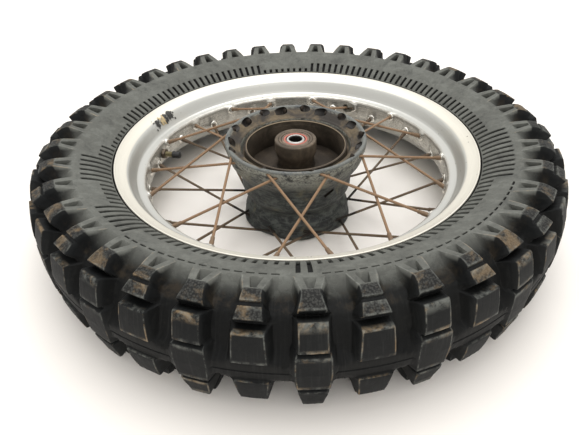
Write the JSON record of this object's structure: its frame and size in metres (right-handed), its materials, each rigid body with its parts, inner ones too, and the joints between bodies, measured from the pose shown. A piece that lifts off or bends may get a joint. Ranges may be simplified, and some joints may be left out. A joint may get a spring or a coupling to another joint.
{
  "type": "spoked motorcycle wheel",
  "caption": "Motorcycle rear wheel with a knobbly tyre on a wire-spoked aluminium rim and a drum-brake hub that turns on sealed bearings.",
  "frame": {"origin": "centre of the wheel: on the axle line, midway across the tyre", "axes": "+Z along the axle, towards the brake drum's open side; the wheel lies flat, as stored, with its sprocket side down"},
  "size_m": [0.697, 0.6966, 0.14],
  "materials": {
    "tyre": "worn matt rubber with dust",
    "tube_rubber": "matt",
    "rim_aluminium": "scuffed satin",
    "band_rubber": "matt",
    "spoke_steel": "rusty plated steel",
    "hub_shell": "cast aluminium under scuffed black paint",
    "drum_iron": "worn, dusty",
    "seal_rubber": "matt",
    "cage_steel": "satin",
    "bearing_steel": "ground",
    "oil_seal_rubber": "matt",
    "valve_brass": "tarnished",
    "cap_plastic": "matt",
    "weight_metal": "dull"
  },
  "bodies": {
    "wheel": {"balance_weight": "weight_metal", "bearing_circlip": "bearing_steel", "brake_bearing_outer_race": "bearing_steel", "brake_bearing_seal": "seal_rubber", "brake_drum_liner": "drum_iron", "brake_spoke_01": "spoke_steel", "brake_spoke_02": "spoke_steel", "brake_spoke_03": "spoke_steel", "brake_spoke_04": "spoke_steel", "brake_spoke_05": "spoke_steel", "brake_spoke_06": "spoke_steel", "brake_spoke_07": "spoke_steel", "brake_spoke_08": "spoke_steel", "brake_spoke_09": "spoke_steel", "brake_spoke_10": "spoke_steel", "brake_spoke_11": "spoke_steel", "brake_spoke_12": "spoke_steel", "brake_spoke_13": "spoke_steel", "brake_spoke_14": "spoke_steel", "brake_spoke_15": "spoke_steel", "brake_spoke_16": "spoke_steel", "brake_spoke_17": "spoke_steel", "brake_spoke_18": "spoke_steel", "hub_shell": "hub_shell", "inner_tube": "tube_rubber", "rim": "rim_aluminium", "rim_band": "band_rubber", "sprocket_bearing_outer_race": "bearing_steel", "sprocket_bearing_seal": "seal_rubber", "sprocket_side_oil_seal": "oil_seal_rubber", "sprocket_spoke_01": "spoke_steel", "sprocket_spoke_02": "spoke_steel", "sprocket_spoke_03": "spoke_steel", "sprocket_spoke_04": "spoke_steel", "sprocket_spoke_05": "spoke_steel", "sprocket_spoke_06": "spoke_steel", "sprocket_spoke_07": "spoke_steel", "sprocket_spoke_08": "spoke_steel", "sprocket_spoke_09": "spoke_steel", "sprocket_spoke_10": "spoke_steel", "sprocket_spoke_11": "spoke_steel", "sprocket_spoke_12": "spoke_steel", "sprocket_spoke_13": "spoke_steel", "sprocket_spoke_14": "spoke_steel", "sprocket_spoke_15": "spoke_steel", "sprocket_spoke_16": "spoke_steel", "sprocket_spoke_17": "spoke_steel", "sprocket_spoke_18": "spoke_steel", "tyre": "tyre", "valve_cap": "cap_plastic", "valve_nut": "bearing_steel", "valve_stem": "valve_brass"},
    "axle_sleeve": {"brake_bearing_inner_race": "bearing_steel", "sprocket_bearing_inner_race": "bearing_steel", "bearing_spacer": "bearing_steel"},
    "brake_ball_set": {"brake_bearing_balls_and_cage": "cage_steel"},
    "sprocket_ball_set": {"sprocket_bearing_balls_and_cage": "cage_steel"}
  },
  "joints": [
    {"name": "axle_spin", "type": "hinge", "parent": "wheel", "child": "axle_sleeve", "pos_m": [0, 0, 0], "axis": [0, 0, 1], "continuous": true},
    {"name": "brake_balls_roll", "type": "hinge", "parent": "wheel", "child": "brake_ball_set", "pos_m": [0, 0, 0.04], "axis": [0, 0, 1], "continuous": true},
    {"name": "sprocket_balls_roll", "type": "hinge", "parent": "wheel", "child": "sprocket_ball_set", "pos_m": [0, 0, -0.057], "axis": [0, 0, 1], "continuous": true}
  ],
  "couplings": [
    {"joint": "brake_balls_roll", "follows": "axle_spin", "ratio": 0.3634},
    {"joint": "sprocket_balls_roll", "follows": "axle_spin", "ratio": 0.3634}
  ]
}
